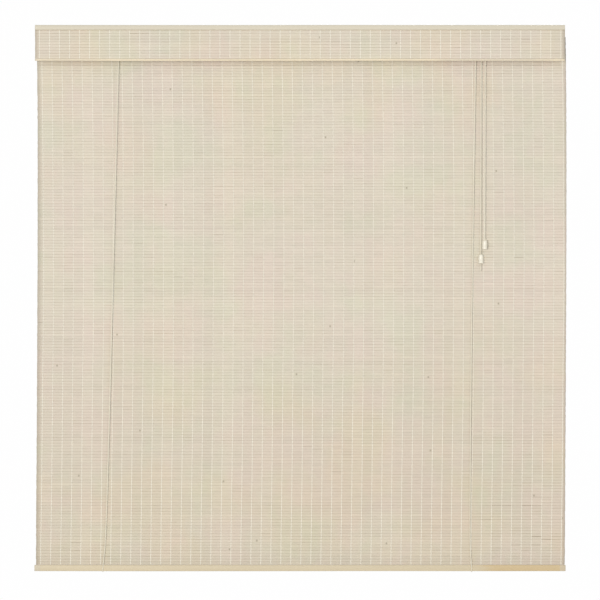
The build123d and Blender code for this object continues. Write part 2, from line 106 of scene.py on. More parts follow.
class BlindSizes(bpy.types.PropertyGroup):
    """Sizes of the weave and the cords that a user would change."""

    slat_height: length(
        "Slat height", "Height of one slat, less than its pitch", 6.37 * MM, 4.0 * MM, max=SLAT_PITCH
    )
    yarn_spacing: length("Yarn spacing", "From one warp yarn to the next", 22.7 * MM, 10.0 * MM)
    yarn_width: length("Yarn width", "Width of one warp yarn", 1.6 * MM, 0.3 * MM)
    yarn_sway: length(
        "Yarn sway", "How far the yarns wander sideways at the middle of the drop", 2.9 * MM, 0.0
    )
    cord_diameter: length("Cord diameter", "Of the braided cords", 2.0 * MM, 1.0 * MM)
    braid_depth: bpy.props.FloatProperty(
        name="Braid depth", description="Depth of the braid's furrows, as a share of the cord's radius",
        default=0.09, min=0.0, max=0.4, subtype="FACTOR",
    )


def tint(name, description, default):
    return bpy.props.FloatVectorProperty(
        name=name, description=description, default=default, size=3, min=0.0, max=1.0, subtype="COLOR"
    )


class BlindColours(bpy.types.PropertyGroup):
    """Colours of the blind's own materials, in linear light."""

    bamboo: tint("Bamboo", "Bleached bamboo slats", (0.688, 0.617, 0.512))
    bamboo_rosy: tint("Rosy bamboo", "Slats that lean to pink", (0.704, 0.606, 0.516))
    bamboo_green: tint("Green bamboo", "Slats that lean to green", (0.666, 0.622, 0.500))
    bamboo_line: tint("Slat edge", "Shaded edges between slats", (0.480, 0.395, 0.265))
    bamboo_node: tint("Node", "Specks at the nodes of the cane", (0.350, 0.300, 0.210))
    lath: tint("Bamboo lath", "Smooth laths along the edges", (0.650, 0.592, 0.472))
    reed: tint("Edge reed", "Cane along the valance's lower edge", (0.910, 0.790, 0.590))
    batten: tint("Bottom batten", "Left part of the bottom batten", (0.640, 0.545, 0.378))
    batten_tan: tint("Bottom batten, tan", "Right part of it", (0.622, 0.478, 0.270))
    head_wood: tint("Head batten", "Planed softwood", (0.700, 0.560, 0.370))
    yarn: tint("Warp yarn", "Spun cotton", (0.910, 0.865, 0.755))
    cord: tint("Cord", "Braided cotton", (0.860, 0.800, 0.660))
    steel: tint("Zinc plate", "Brackets, screws and the lock", (0.600, 0.600, 0.580))
    nylon: tint("Nylon", "Sheaves", (0.820, 0.810, 0.770))
    ivory: tint("Ivory", "Moulded tassels", (0.930, 0.875, 0.755))
    floor: tint("Floor", "Plain pale floor", (0.800, 0.795, 0.780))


# ---------------- materials


class Wire:
    """One value in a material's node tree, which can be added, multiplied and so on."""

    def __init__(self, finish, socket):
        self.finish = finish
        self.socket = socket

    def by(self, operation, *values):
        return self.finish.wire("ShaderNodeMath", {"operation": operation}, dict(enumerate(values)))

    def __add__(self, other):
        return self.by("ADD", self, other)

    def __radd__(self, other):
        return self.by("ADD", other, self)

    def __sub__(self, other):
        return self.by("SUBTRACT", self, other)

    def __rsub__(self, other):
        return self.by("SUBTRACT", other, self)

    def __mul__(self, other):
        return self.by("MULTIPLY", self, other)

    def __pow__(self, other):
        return self.by("POWER", self, other)

    def __abs__(self):
        return self.by("ABSOLUTE", self)

    def about(self, spread):
        """A value from 0 to 1 made into one this wide about 0."""
        return (self - 0.5) * spread

    def sine(self):
        return self.by("SINE", self)

    def capped(self, most):
        return self.by("MINIMUM", self, most)


class Finish:
    """One material, built from nodes. Its place is read from the mesh at rest or from the object."""

    def __init__(self, name, rest=False):
        self.material = bpy.data.materials.new(name)
        self.material.use_nodes = True
        self.tree = self.material.node_tree
        self.tree.nodes.clear()
        self.place = self.read("rest") if rest else self.wire("ShaderNodeTexCoord", output="Object")

    def put(self, socket, value):
        if isinstance(value, Wire):
            self.tree.links.new(value.socket, socket)
        elif hasattr(value, "__len__") and len(value) == 3 and len(socket.default_value) == 4:
            socket.default_value = (*value, 1.0)
        else:
            socket.default_value = value

    def node(self, kind, settings=None, sockets=None):
        """A node of this type. Its settings are set first, then the values or links of its sockets."""
        made = self.tree.nodes.new(kind)
        for key, value in (settings or {}).items():
            setattr(made, key, value)
        for key, value in (sockets or {}).items():
            self.put(made.inputs[key], value)
        return made

    def wire(self, kind, settings=None, sockets=None, output=0):
        """One output of a new node."""
        return Wire(self, self.node(kind, settings, sockets).outputs[output])

    def read(self, name):
        """A vector stored on the mesh."""
        return self.wire("ShaderNodeAttribute", {"attribute_name": name}, output="Vector")

    def parts(self, vector):
        made = self.node("ShaderNodeSeparateXYZ", None, {0: vector})
        return [Wire(self, out) for out in made.outputs]

    def join(self, x, y, z):
        return self.wire("ShaderNodeCombineXYZ", None, {0: x, 1: y, 2: z})

    def vector(self, operation, first, second):
        sockets = {0: first, "Scale" if operation == "SCALE" else 1: second}
        return self.wire("ShaderNodeVectorMath", {"operation": operation}, sockets)

    def noise(self, vector, scale, detail=2.0, rough=0.5):
        sockets = {"Vector": vector, "Scale": scale, "Detail": detail, "Roughness": rough}
        return self.wire("ShaderNodeTexNoise", {"noise_dimensions": "3D"}, sockets, "Fac")

    def noise_at(self, x, y, z, detail=2.0, rough=0.5):
        """Noise at a place whose three numbers are scaled one by one."""
        return self.noise(self.join(x, y, z), 1.0, detail, rough)

    def ease(self, value, low, high):
        """0 at low, 1 at high, and smooth between."""
        sockets = {"Value": value, "From Min": low, "From Max": high}
        return self.wire("ShaderNodeMapRange", {"interpolation_type": "SMOOTHSTEP"}, sockets, "Result")

    def mix(self, share, first, second, how="MIX"):
        """Two colours mixed. The node's sockets 6 and 7 and its output 2 are its colour ones."""
        settings = {"data_type": "RGBA", "blend_type": how}
        return self.wire("ShaderNodeMix", settings, {0: share, 6: first, 7: second}, 2)

    def shade(self, colour, amount):
        """The colour made lighter or darker by a factor near 1."""
        return self.vector("SCALE", colour, amount)

    def bump(self, height, depth, strength):
        return self.wire("ShaderNodeBump", None, {"Height": height, "Distance": depth, "Strength": strength})

    def surface(self, colour, roughness, level=None, bump=None, **fixed):
        """Ends the material in one shader. A level makes its colour lighter or darker, a bump is a
        height, depth and strength, and fixed holds plain numbers."""
        if level is not None:
            colour = self.shade(colour, level)
        sockets = {"Base Color": colour, "Roughness": roughness, **fixed}
        if bump is not None:
            sockets["Normal"] = self.bump(*bump)
        shader = self.node("ShaderNodeBsdfPrincipled", None, sockets)
        out = self.node("ShaderNodeOutputMaterial")
        self.tree.links.new(shader.outputs[0], out.inputs["Surface"])
        return self.material


def colours():
    return bpy.context.scene.blind_colours


def sizes():
    return bpy.context.scene.blind_sizes


def tone_drift(f, x, z):
    """Three soft values from 0 to 1 that change over a hand's breadth or more."""
    spread = f.join(x, 0.0, z)
    warm = f.noise(spread, 5.0, 2.0, 0.6)
    leaning = f.noise(f.vector("ADD", spread, (3.1, 0.4, 7.7)), 9.0, 3.0, 0.6)
    light = f.noise(f.vector("ADD", spread, (8.3, 1.9, 2.2)), 3.2, 2.0, 0.55)
    return warm, leaning, light


def mid_drop(f, z):
    """1 across the middle of the blind's drop, and 0 near its top and its bottom."""
    return f.ease(abs(z + 0.5), 0.45, 0.15)


def bamboo_finish(name):
    """Bleached slats: fibres, soft tone bands, painted shade along the edges that differs from cell to cell,
    painted gap shadows, painted cooler light across the middle, specks.
    """
    c = colours()
    f = Finish(name, rest=True)
    x, _, z = f.parts(f.place)
    across, seed, from_node = f.parts(f.read("slat"))
    line, gap_shadow_strength, tone = f.parts(f.read("cell"))
    warm, leaning, light = tone_drift(f, x, z)

    fibre = f.noise_at(x * 38.0, across * 5.0 + seed * 61.0, seed * 23.0, 3.0, 0.6)
    streak = f.noise_at(x * 4.0, across * 1.6 + seed * 97.0, seed * 11.0)
    colour = f.mix(f.ease(leaning, 0.46, 0.68), c.bamboo, c.bamboo_rosy)
    colour = f.mix(f.ease(leaning, 0.50, 0.32), colour, c.bamboo_green)
    drop = f.ease(z, -0.55, -1.20)
    middle = mid_drop(f, z)
    yellow = f.mix(1.0, colour, (1.016, 0.994, 0.925), "MULTIPLY")
    # How yellow the slats are: a random warm tone, held back across the middle of the drop as painted cooler
    # light shining through there, and stronger towards the bottom
    yellow_tone_and_cool_centre_light = f.ease(warm, 0.40, 0.66) * (0.8 - middle * 0.5) + drop * 0.5
    colour = f.mix(yellow_tone_and_cool_centre_light, colour, yellow)
    level = 1.0 + fibre.about(0.075) + streak.about(0.10) + light.about(0.07)
    hem = f.ease(z, -1.165, -1.200)
    level = level + tone.about(0.10) - drop * 0.078 - hem * 0.050
    colour = f.shade(colour, level)

    # Painted shade along the edges where the slats meet, darker in some cells than others
    edge = f.ease(across + seed.about(0.3), 0.58, 0.92)
    colour = f.mix((edge * line).capped(0.9), colour, c.bamboo_line)
    # Painted shadow of a gap: dark brown along a slat's upper edge
    gap_shadow = f.ease(across, 0.60, 0.90) * gap_shadow_strength
    colour = f.mix(gap_shadow.capped(0.95), colour, (0.225, 0.150, 0.070))
    ring = f.ease(abs(from_node), 0.0030, 0.0004) * f.ease(abs(across), 1.05, 0.2)
    colour = f.mix(ring * 0.85, colour, c.bamboo_node)

    rough = 0.50 + fibre.about(0.22)
    height = fibre * 0.6 + streak * 0.4 - ring * 0.6
    return f.surface(colour, rough, bump=(height, 0.00012, 0.5), IOR=1.45)


def lath_finish(name, base, second=None, switch=0.0, grain=26.0, strength=1.0, tip=False):
    """A smooth lath or batten with grain along X. It can turn to a second colour past a place on X,
    and its tips can be greyer."""
    f = Finish(name, rest=True)
    x, y, z = f.parts(f.place)
    warp = f.noise_at(x * 2.0, y * 30.0, z * 30.0)
    fine = f.noise_at(x * grain * 0.30, y * 420.0, z * 420.0 + warp * 2.4, 3.0, 0.6)
    slow = f.noise_at(x * 3.4, y * 90.0, z * 90.0)
    colour = base
    if second is not None:
        turn = f.noise_at(x * 9.0, 0.0, z * 60.0)
        colour = f.mix(f.ease(x + turn.about(0.16), switch - 0.03, switch + 0.05), base, second)
    if tip:
        grey = f.ease(abs(x), 0.5885, 0.5900)
        colour = f.mix(grey * 0.5, colour, (0.590, 0.540, 0.445))
    level = 1.0 + (fine.about(0.16) + slow.about(0.14)) * strength
    rough = 0.46 + fine.about(0.2)
    return f.surface(colour, rough, level, (fine, 0.0001, 0.4), IOR=1.45)


def reed_finish(name):
    """Round cane that drifts towards the colour of the slats."""
    c = colours()
    f = Finish(name, rest=True)
    x, y, z = f.parts(f.place)
    fine = f.noise_at(x * 14.0, y * 600.0, z * 600.0, 2.0, 0.6)
    slow = f.noise_at(x * 5.0, 0.3, 0.7)
    level = 1.02 + fine.about(0.14) + slow.about(0.12)
    colour = f.mix(f.ease(slow, 0.45, 0.7) * 0.5, c.reed, c.bamboo)
    return f.surface(colour, 0.42 + fine.about(0.15), level, (fine, 0.0001, 0.3))


def yarn_finish(name):
    """Soft spun cotton, with the slant of its ply and a little unevenness."""
    c = colours()
    f = Finish(name, rest=True)
    x, _, z = f.parts(f.place)
    fuzz = f.noise(f.place, 2600.0, 2.0, 0.6)
    along = f.noise_at(x * 44.0, 0.0, z * 14.0, 2.0, 0.6)
    ply = (z * 5200.0 + x * 3800.0).sine() * 0.5 + 0.5
    middle = mid_drop(f, z)
    level = 0.94 - middle * 0.035 + fuzz.about(0.08) + along.about(0.16) + ply * 0.05
    bump = (ply * 0.6 + fuzz * 0.4, 0.0001, 0.5)
    return f.surface(c.yarn, 0.88 + fuzz.about(0.1), level, bump, IOR=1.4)


def cord_finish(name):
    """Matt braided cotton: the crossing strands, lint and a little handling soil."""
    c = colours()
    f = Finish(name, rest=True)
    along, side, front = f.parts(f.read("lay"))
    one = (along * 1900.0 + side * 3.0).sine()
    other = (along * 1900.0 - side * 3.0 + front * 1.5).sine()
    braid = one.by("MAXIMUM", one, other) * 0.5 + 0.5
    lint = f.noise(f.place, 1900.0, 2.0, 0.6)
    soil = f.noise_at(along * 9.0, 0.0, 0.0)
    level = 0.90 + braid * 0.12 + lint.about(0.08) + soil.about(0.08)
    return f.surface(c.cord, 0.84 + lint.about(0.12), level, (braid, 0.00016, 0.6), IOR=1.4)


def steel_finish(name):
    """Zinc plate: faint spangle, rolling marks and duller patches."""
    c = colours()
    f = Finish(name)
    x, y, z = f.parts(f.place)
    spangle = f.noise(f.place, 420.0, 3.0, 0.6)
    rolled = f.noise_at(x * 60.0, y * 900.0, z * 900.0)
    level = 0.92 + spangle.about(0.22) + rolled.about(0.10)
    rough = 0.36 + spangle.about(0.2) + rolled.about(0.12)
    return f.surface(c.steel, rough, level, (rolled, 0.00003, 0.4), Metallic=1.0)


def nylon_finish(name):
    """Moulded nylon, faintly mottled and scuffed."""
    c = colours()
    f = Finish(name)
    mottle = f.noise(f.place, 260.0)
    wear = f.noise(f.place, 900.0, 2.0, 0.6)
    level = 0.97 + mottle.about(0.06)
    return f.surface(c.nylon, 0.42 + wear.about(0.2), level, (wear, 0.00003, 0.3))


def ivory_finish(name):
    """Moulded ivory plastic, slightly yellowed, with fine scuffs."""
    c = colours()
    f = Finish(name, rest=True)
    cloud = f.noise(f.place, 170.0)
    scuff = f.noise(f.vector("MULTIPLY", f.place, (900.0, 900.0, 260.0)), 1.0, 3.0, 0.65)
    colour = f.mix(f.ease(cloud, 0.4, 0.7) * 0.5, c.ivory, (0.865, 0.800, 0.640))
    level = 1.0 + scuff.about(0.06)
    rough = 0.30 + scuff.about(0.24)
    return f.surface(colour, rough, level, (scuff, 0.00004, 0.3), IOR=1.49)


def softwood_finish(name):
    """Planed softwood with growth lines along X and a few darker pores."""
    c = colours()
    f = Finish(name)
    x, y, z = f.parts(f.place)
    wander = f.noise_at(x * 2.6, y * 12.0, z * 12.0)
    rings = ((y * 620.0 + z * 380.0 + wander * 16.0).sine() * 0.5 + 0.5) ** 2.0
    pores = f.noise_at(x * 30.0, y * 900.0, z * 900.0, 3.0, 0.6)
    colour = f.mix(rings * 0.35, c.head_wood, (0.590, 0.410, 0.220))
    level = 1.0 + pores.about(0.16)
    return f.surface(colour, 0.60 + pores.about(0.2), level, (pores, 0.0001, 0.4))


def plain_slat_finish(name):
    """The few slats that are clamped in the head and in the batten."""
    c = colours()
    f = Finish(name)
    x, y, z = f.parts(f.place)
    fibre = f.noise_at(x * 38.0, y * 700.0, z * 700.0, 3.0, 0.6)
    slow = f.noise_at(x * 4.0, 0.0, z * 150.0)
    level = 1.0 + fibre.about(0.10) + slow.about(0.10)
    return f.surface(c.bamboo, 0.50 + fibre.about(0.2), level, (fibre, 0.0001, 0.4))


def floor_finish(name):
    """Plain floor, barely clouded."""
    c = colours()
    f = Finish(name)
    cloud = f.noise(f.place, 0.9)
    grit = f.noise(f.place, 60.0)
    level = 1.0 + cloud.about(0.04) + grit.about(0.02)
    return f.surface(c.floor, 0.8, level)


# ---------------- mesh making


def placed(name, data):
    """A new object, linked to the scene."""
    made = bpy.data.objects.new(name, data)
    bpy.context.scene.collection.objects.link(made)
    return made


def mesh_piece(name, points, faces, finish, body=None, slot=None, replaces=(), smooth=True):
    """A mesh object from points and lists of corners, which rides a body and stands for CAD nodes."""
    points = np.asarray(points, float).reshape(-1, 3)
    mesh = bpy.data.meshes.new(name)
    mesh.from_pydata(points.tolist(), [], faces)
    mesh.update()
    if smooth:
        mesh.polygons.foreach_set("use_smooth", np.ones(len(mesh.polygons), bool))
    mesh.materials.append(finish)
    piece = placed(name, mesh)
    store(mesh, "rest", points)
    if replaces:
        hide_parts(*replaces)
    if body:
        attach(piece, body)
    return piece


def store(mesh, name, values, domain="POINT"):
    """Keeps a vector for each point or face, which the materials read."""
    layer = mesh.attributes.new(name, "FLOAT_VECTOR", domain)
    layer.data.foreach_set("vector", np.asarray(values, np.float32).ravel())


def skin(rows, ring, first=0, closed=False):
    """Quads between successive rings of points, facing outwards for rings that run anticlockwise
    seen against the way the rows go. A closed skin joins its last ring to its first."""
    row = np.arange(rows if closed else rows - 1)[:, None]
    here = np.arange(ring)[None, :]
    after = (here + 1) % ring
    up = (row + 1) % rows
    quads = np.stack([row * ring + here, row * ring + after, up * ring + after, up * ring + here], -1)
    return (quads.reshape(-1, 4) + first).tolist()


def caps(rows, ring, first=0):
    """The two end faces of a skin."""
    start = [first + i for i in reversed(range(ring))]
    end = [first + (rows - 1) * ring + i for i in range(ring)]
    return [start, end]


def round_bar(name, sections, finish, **facts):
    """A bar lofted through sections, an array of rings of points, with its ends closed."""
    rows, ring = sections.shape[:2]
    return mesh_piece(name, sections, skin(rows, ring) + caps(rows, ring), finish, **facts)


def middle_of(low, high):
    return [(low[i] + high[i]) / 2 for i in range(3)]


def round_angles(count):
    return np.arange(count) / count * 2 * math.pi


def spin(profile, centre, sides):
    """Rings of a turned shape about a vertical line, from an array of (radius, height) pairs."""
    turn = round_angles(sides)
    radius, height = profile.T
    x = centre[0] + radius[:, None] * np.cos(turn)
    y = centre[1] + radius[:, None] * np.sin(turn)
    z = np.repeat((centre[2] + height)[:, None], sides, 1)
    return np.stack([x, y, z], -1)


# ---------------- the weave


def wave(turns):
    return np.sin(2 * math.pi * turns)


class Panel:
    """A woven panel: level slats bound by upright yarns, hung a little out of true."""

    def __init__(self, low, high, rows, yarns, sway, bulge, seed):
        self.left, self.right = low[0], high[0]
        self.low, self.high = low[2], high[2]
        self.middle = (low[1] + high[1]) / 2
        self.rows = rows
        self.pitch = (self.high - self.low + SLAT_GAP) / rows
        self.yarns = yarns
        self.sway, self.bulge = sway, bulge
        draw = np.random.default_rng(seed)
        cells = len(yarns) + 1
        self.seeds = draw.random(rows)
        self.thickness = draw.uniform(0.88, 1.05, rows)
        self.tilt = draw.normal(0.0, 0.028, rows)
        self.ends = draw.uniform(0.0, 0.7 * MM, (rows, 2))
        self.node_at = draw.uniform(-6.0, 6.0, rows)
        self.line = self.edge_lines(draw, cells)
        self.tone = self.cell_tones(draw, cells)
        # A few random cells also get a painted gap shadow
        self.gap_shadow_strength = np.where(draw.random((rows, cells)) > 0.9985, draw.uniform(0.2, 0.5), 0.0)

    def edge_lines(self, draw, cells):
        """How dark the painted shade along the slat edges is in each cell. A few rows of a cell go together.
        """
        groups = self.rows // 3 + 2
        block = draw.random((groups, cells)) ** 2.6
        pick = (np.arange(self.rows)[:, None] + draw.integers(0, 3, cells)) // 3
        line = 0.02 + 0.42 * block[pick, np.arange(cells)]
        line *= draw.uniform(0.6, 1.3, (self.rows, cells))
        line[:, [0, -1]] *= 0.35
        line[:, 1] *= 0.75
        return line

    def cell_tones(self, draw, cells):
        """A slat is one tone along its length, nudged cell by cell, and each column leans a little."""
        slat = draw.normal(0.0, 0.13, (self.rows, 1))
        column = draw.normal(0.0, 0.10, (1, cells))
        cell = draw.normal(0.0, 0.10, (self.rows, cells))
        return np.clip(0.5 + slat + column + cell, 0.0, 1.0)

    def centre(self, row):
        """The height of the middle of a row's slats."""
        return self.low + (np.asarray(row, float) + 0.5) * self.pitch - SLAT_GAP / 2

    def share(self, z):
        """How far up the panel a height is, from 0 to 1."""
        return np.clip((z - self.low) / (self.high - self.low), 0.0, 1.0)

    def shift(self, z):
        """How far the whole panel hangs to the right of true, most a third of the way down."""
        down = 1.0 - self.share(z)
        return self.sway * (0.74 * (1 - down) + 0.28 * down + np.sin(math.pi * down**0.6))

    def aside(self, x, z):
        """Sideways wander of the yarns, each a little its own way."""
        t = self.share(z)
        own = wave(2.3 * t + 1.7 * x) + 0.7 * wave(1.1 * t + 7.3 * x)
        belly = np.sin(math.pi * t)
        return self.shift(z) + self.sway * (0.3 + (1.05 + 0.14 * own) * belly)

    def outward(self, x, z):
        """How far the panel stands proud of flat, or hollow behind it."""
        t = self.share(z)
        held = np.sin(math.pi * t)
        broad = wave(1.3 * x + 0.2) * wave(1.1 * t + 0.1)
        small = 0.45 * wave(3.1 * x + 0.7 * t) * wave(2.7 * t)
        return -self.bulge * held * (broad + small)

    def raised(self, x, z):
        """Slats bow up and down slightly between the edges."""
        t = self.share(z)
        held = np.clip(np.minimum(t, 1 - t) / 0.05, 0.0, 1.0)
        bow = 0.7 * wave(0.9 * x + 0.35 * t) * wave(1.6 * t + 0.3)
        wobble = 0.3 * wave(3.3 * x + 2.9 * t + 0.4)
        return self.bulge * 0.45 * held * (bow + wobble)

    def row_at(self, z):
        return int(np.clip(round((z - self.low) / self.pitch - 0.5), 0, self.rows - 1))

    def paint_gap_shadow(self, along, drop, strength):
        """Paints the shadow of a gap between two slats at one place, as if they stood apart there."""
        cell = int(np.searchsorted(self.yarns, along))
        self.gap_shadow_strength[self.row_at(TOP_EDGE - drop), cell] = strength

    def place_node(self, along, drop):
        """Puts the node of one slat's cane at a place along it."""
        self.node_at[self.row_at(TOP_EDGE - drop)] = along


SLAT_SECTION = np.array(
    # back and up: shares of half the thickness and half the height, so the front face is at -1
    [(-1.02, 0.0), (-1.0, 0.74), (-0.88, 0.93), (-0.45, 1.0), (1.0, 0.94)]
    + [(1.0, -0.94), (-0.45, -1.0), (-0.88, -0.93), (-1.0, -0.74)]
)


def weave_slats(name, panel, first, last, finish, **facts):
    """Rows first to last of a panel's slats, with a station at each yarn."""
    rows, ring = last - first, len(SLAT_SECTION)
    pick = slice(first, last)
    centre = panel.centre(np.arange(first, last))[:, None]
    x = np.tile(np.concatenate([[panel.left], panel.yarns, [panel.right]]), (rows, 1))
    x[:, 1:-1] += panel.aside(x[:, 1:-1], np.repeat(centre, x.shape[1] - 2, 1))
    x[:, 0] += panel.shift(centre[:, 0]) + panel.ends[pick, 0]
    x[:, -1] += panel.shift(centre[:, 0]) - panel.ends[pick, 1]
    stations = x.shape[1]
    half = sizes().slat_height / 2
    thick = SLAT_HALF_DEPTH * panel.thickness[pick][:, None, None]
    back, up = SLAT_SECTION.T[:, None, None, :]
    y = panel.middle + panel.outward(x, centre)[..., None] + back * thick
    y = y + up * half * panel.tilt[pick][:, None, None]
    z = (centre + panel.raised(x, centre))[..., None] + up * half
    points = np.stack(np.broadcast_arrays(x[..., None], y, z), -1)

    faces, size = [], stations * ring
    for row in range(rows):
        faces += skin(stations, ring, row * size)
    for row in range(rows):
        faces += caps(stations, ring, row * size)
    piece = mesh_piece(name, points, faces, finish, **facts)
    mesh = piece.data

    rest = np.stack(np.broadcast_arrays(x[..., None], y, centre[..., None] + up * half), -1)
    mesh.attributes["rest"].data.foreach_set("vector", rest.astype(np.float32).ravel())
    seed = panel.seeds[pick][:, None, None]
    from_node = x[..., None] - panel.node_at[pick][:, None, None]
    store(mesh, "slat", np.stack(np.broadcast_arrays(up, seed, from_node), -1))
    cells = np.stack([panel.line[pick], panel.gap_shadow_strength[pick], panel.tone[pick]], -1)
    sides = np.repeat(cells.reshape(-1, 3), ring, 0)
    ends = np.tile([0.1, 0.0, 0.5], (2 * rows, 1))
    store(mesh, "cell", np.concatenate([sides, ends]), "FACE")
    return piece


def weave_yarns(name, panel, first, last, finish, top=None, back_stop=None, **facts):
    """Yarns first to last. Each is two strands that change sides between every two slats."""
    half = sizes().yarn_width / 2
    rows = np.arange(panel.rows)
    centre = panel.centre(rows)
    z = (centre[:, None] + np.array([-STRAND_REACH, STRAND_REACH]) * panel.pitch).ravel()
    lean = np.tile([-1.0, 1.0], panel.rows)
    row = np.repeat(rows, 2)
    deep = STRAND_HALF_DEPTH
    ring = np.array([(-half, 0.0, 0.0), (0.0, -deep, 0.0), (half, 0.0, 0.0), (0.0, deep, 0.0)])
    if top is not None:
        keep = z < top
        z, lean, row = z[keep], lean[keep], row[keep]
    points, faces = [], []
    for yarn in panel.yarns[first:last]:
        for strand in (0, 1):
            side = np.where((row + strand) % 2 == 0, -1.0, 1.0)
            x = yarn + panel.aside(yarn, z) + lean * STRAND_LEAN * (1 - 2 * strand) * side
            y = panel.middle + panel.outward(yarn, z) + side * STRAND_OFFSET
            if back_stop is not None:
                y = np.where(z > HEAD_UNDER - 2 * MM, np.minimum(y, back_stop), y)
            line = np.stack([x, y, z + panel.raised(yarn, z)], -1)
            before = len(points) * len(z) * 4
            faces += skin(len(z), 4, before) + caps(len(z), 4, before)
            points.append(line[:, None, :] + ring[None])
    return mesh_piece(name, np.concatenate(points), faces, finish, smooth=False, **facts)


def bands(count, parts):
    """Splits count rows into nearly equal runs."""
    cuts = [round(count * i / parts) for i in range(parts + 1)]
    return list(zip(cuts, cuts[1:]))


def hang_with_mat(piece, held_at, low):
    """Hangs the piece from the head, with a mesh of its own."""
    drop = held_at - low
    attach(piece, HEAD)
    (drop - RISE) / drop
    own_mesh(piece)


# Painted shadows of gaps between slats: along X, drop below the top edge of the blind, darkness
MAT_GAP_SHADOWS = [
    (0.545, 1.044, 0.45), (0.490, 1.046, 0.45), (0.540, 1.071, 0.55), (0.450, 1.088, 0.50),
    (0.476, 1.090, 0.60), (0.520, 1.092, 0.75), (0.543, 1.090, 0.55), (0.523, 1.163, 0.95),
    (0.548, 1.164, 0.85), (0.543, 1.182, 0.65), (0.489, 1.180, 0.60), (0.520, 1.190, 0.35),
    (-0.510, 1.175, 0.60), (-0.434, 1.182, 0.55), (-0.508, 1.192, 0.55), (-0.454, 1.202, 0.55),
    (0.455, 0.985, 0.35), (0.551, 0.930, 0.35),
]
VALANCE_GAP_SHADOWS = [
    (-0.375, 0.020, 0.75), (-0.352, 0.020, 0.60), (0.477, 0.036, 0.55),
    (0.500, 0.036, 0.45), (0.523, 0.043, 0.60), (0.545, 0.043, 0.40),
]
# Nodes of the cane that show as specks: along X, drop below the top edge
MAT_NODES = [
    (-0.236, 0.250), (-0.304, 0.406), (0.058, 0.252), (0.445, 0.327), (0.450, 0.628), (-0.551, 0.771),
    (-0.008, 0.791), (0.291, 0.798), (-0.363, 0.920), (-0.098, 1.169), (0.196, 1.171),
]
# The lower right corner gets the darkest painted shade along the slats' edges
EDGE_SHADE_BELOW, EDGE_SHADE_RIGHT_OF = -0.9, 0.36  # the corner where the slats' edges show the most


def panel_rows(low, high):
    return round((high[2] - low[2] + SLAT_GAP) / SLAT_PITCH)


def mat_panel():
    """The hanging mat. Its yarns are set out from the middle, and its lower right corner has the darkest
    painted shade along the slats' edges.
    """
    s = sizes()
    low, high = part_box("mat_threads")
    half = round((high[0] - low[0]) / 2 / s.yarn_spacing)
    yarns = np.arange(-half, half + 1) * s.yarn_spacing
    rows = panel_rows(MAT_LOW, MAT_HIGH)
    panel = Panel(MAT_LOW, MAT_HIGH, rows, yarns, s.yarn_sway, bulge=1.3 * MM, seed=11)
    for cell in MAT_GAP_SHADOWS:
        panel.paint_gap_shadow(*cell)
    for node in MAT_NODES:
        panel.place_node(*node)
    # Darker painted shade along the slat edges in the lower right corner
    lower = panel.centre(np.arange(rows))[:, None] < EDGE_SHADE_BELOW
    right = np.concatenate([[panel.left], yarns])[None, :] > EDGE_SHADE_RIGHT_OF
    panel.line = np.where(lower & right, panel.line * 1.8 + 0.07, panel.line)
    return panel


def valance_panel():
    """The valance, whose yarns are set out from its left end."""
    s = sizes()
    low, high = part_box("valance_threads")
    count = round((high[0] - low[0]) / s.yarn_spacing)
    yarns = low[0] + 0.5 * MM + np.arange(count + 1) * s.yarn_spacing
    rows = panel_rows(VALANCE_LOW, VALANCE_HIGH)
    panel = Panel(VALANCE_LOW, VALANCE_HIGH, rows, yarns, 0.0, bulge=0.25 * MM, seed=23)
    for cell in VALANCE_GAP_SHADOWS:
        panel.paint_gap_shadow(*cell)
    return panel


# ---------------- laths


def lath(name, node, rounding, finish, seed, waviness=0.15 * MM, **facts):
    """A lath in place of a CAD node, with rounded edges and faces that aren't quite straight."""
    draw = np.random.default_rng(seed)
    low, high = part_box(node)
    depth, height = high[1] - low[1], high[2] - low[2]
    r = min(rounding, 0.49 * depth, 0.49 * height)
    back, top = depth / 2 - r, height / 2 - r
    corners = [(back, top, 0), (-back, top, 90), (-back, -top, 180), (back, -top, 270)]
    ring = []
    for y, z, start in corners:
        for step in range(4):
            a = math.radians(start + step * 30)
            ring.append((y + r * math.cos(a), z + r * math.sin(a)))
    ring = np.array(ring)
    ends = [0.0, 0.25 * MM, 0.8 * MM]
    inner = np.linspace(low[0] + 6 * MM, high[0] - 6 * MM, 61)
    x = np.concatenate([[low[0] + e for e in ends], inner, [high[0] - e for e in reversed(ends)]])
    shrink = np.ones(len(x))
    shrink[[0, -1]], shrink[[1, -2]] = 0.90, 0.97
    phase = draw.uniform(0, 2 * math.pi, 3)
    bend = waviness * (np.sin(5.1 * x + phase[0]) + 0.4 * np.sin(17.0 * x + phase[1])) / 1.4
    swell = 1.0 - 0.012 * (1 + np.sin(9.0 * x + phase[2]))
    y = (low[1] + high[1]) / 2 + ring[None, :, 0] * (shrink * swell)[:, None]
    z = (low[2] + high[2]) / 2 + bend[:, None] + ring[None, :, 1] * (shrink * swell)[:, None]
    sections = np.stack([np.repeat(x[:, None], len(ring), 1), y, z], -1)
    return round_bar(name, sections, finish, replaces=[node], **facts)


def reed(name, node, finish, **facts):
    """A thin round cane in place of a CAD node, with a slight swelling at each joint of the cane."""
    draw = np.random.default_rng(5)
    low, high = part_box(node)
    x = np.linspace(low[0], high[0], 181)
    joints = np.cumsum(draw.uniform(0.16, 0.24, 9)) + low[0] - 0.05
    near = np.exp(-(((x[:, None] - joints) / 0.004) ** 2)).sum(1)
    radius = (high[2] - low[2]) / 2 * (0.93 + 0.03 * np.sin(11 * x) + 0.06 * near)
    a = round_angles(12)
    y = (low[1] + high[1]) / 2 + radius[:, None] * np.cos(a)
    z = (low[2] + high[2]) / 2 + 0.12 * MM * np.sin(7 * x)[:, None] + radius[:, None] * np.sin(a)
    sections = np.stack([np.broadcast_to(x[:, None], y.shape), y, z], -1)
    return round_bar(name, sections, finish, replaces=[node], **facts)


# ---------------- cords


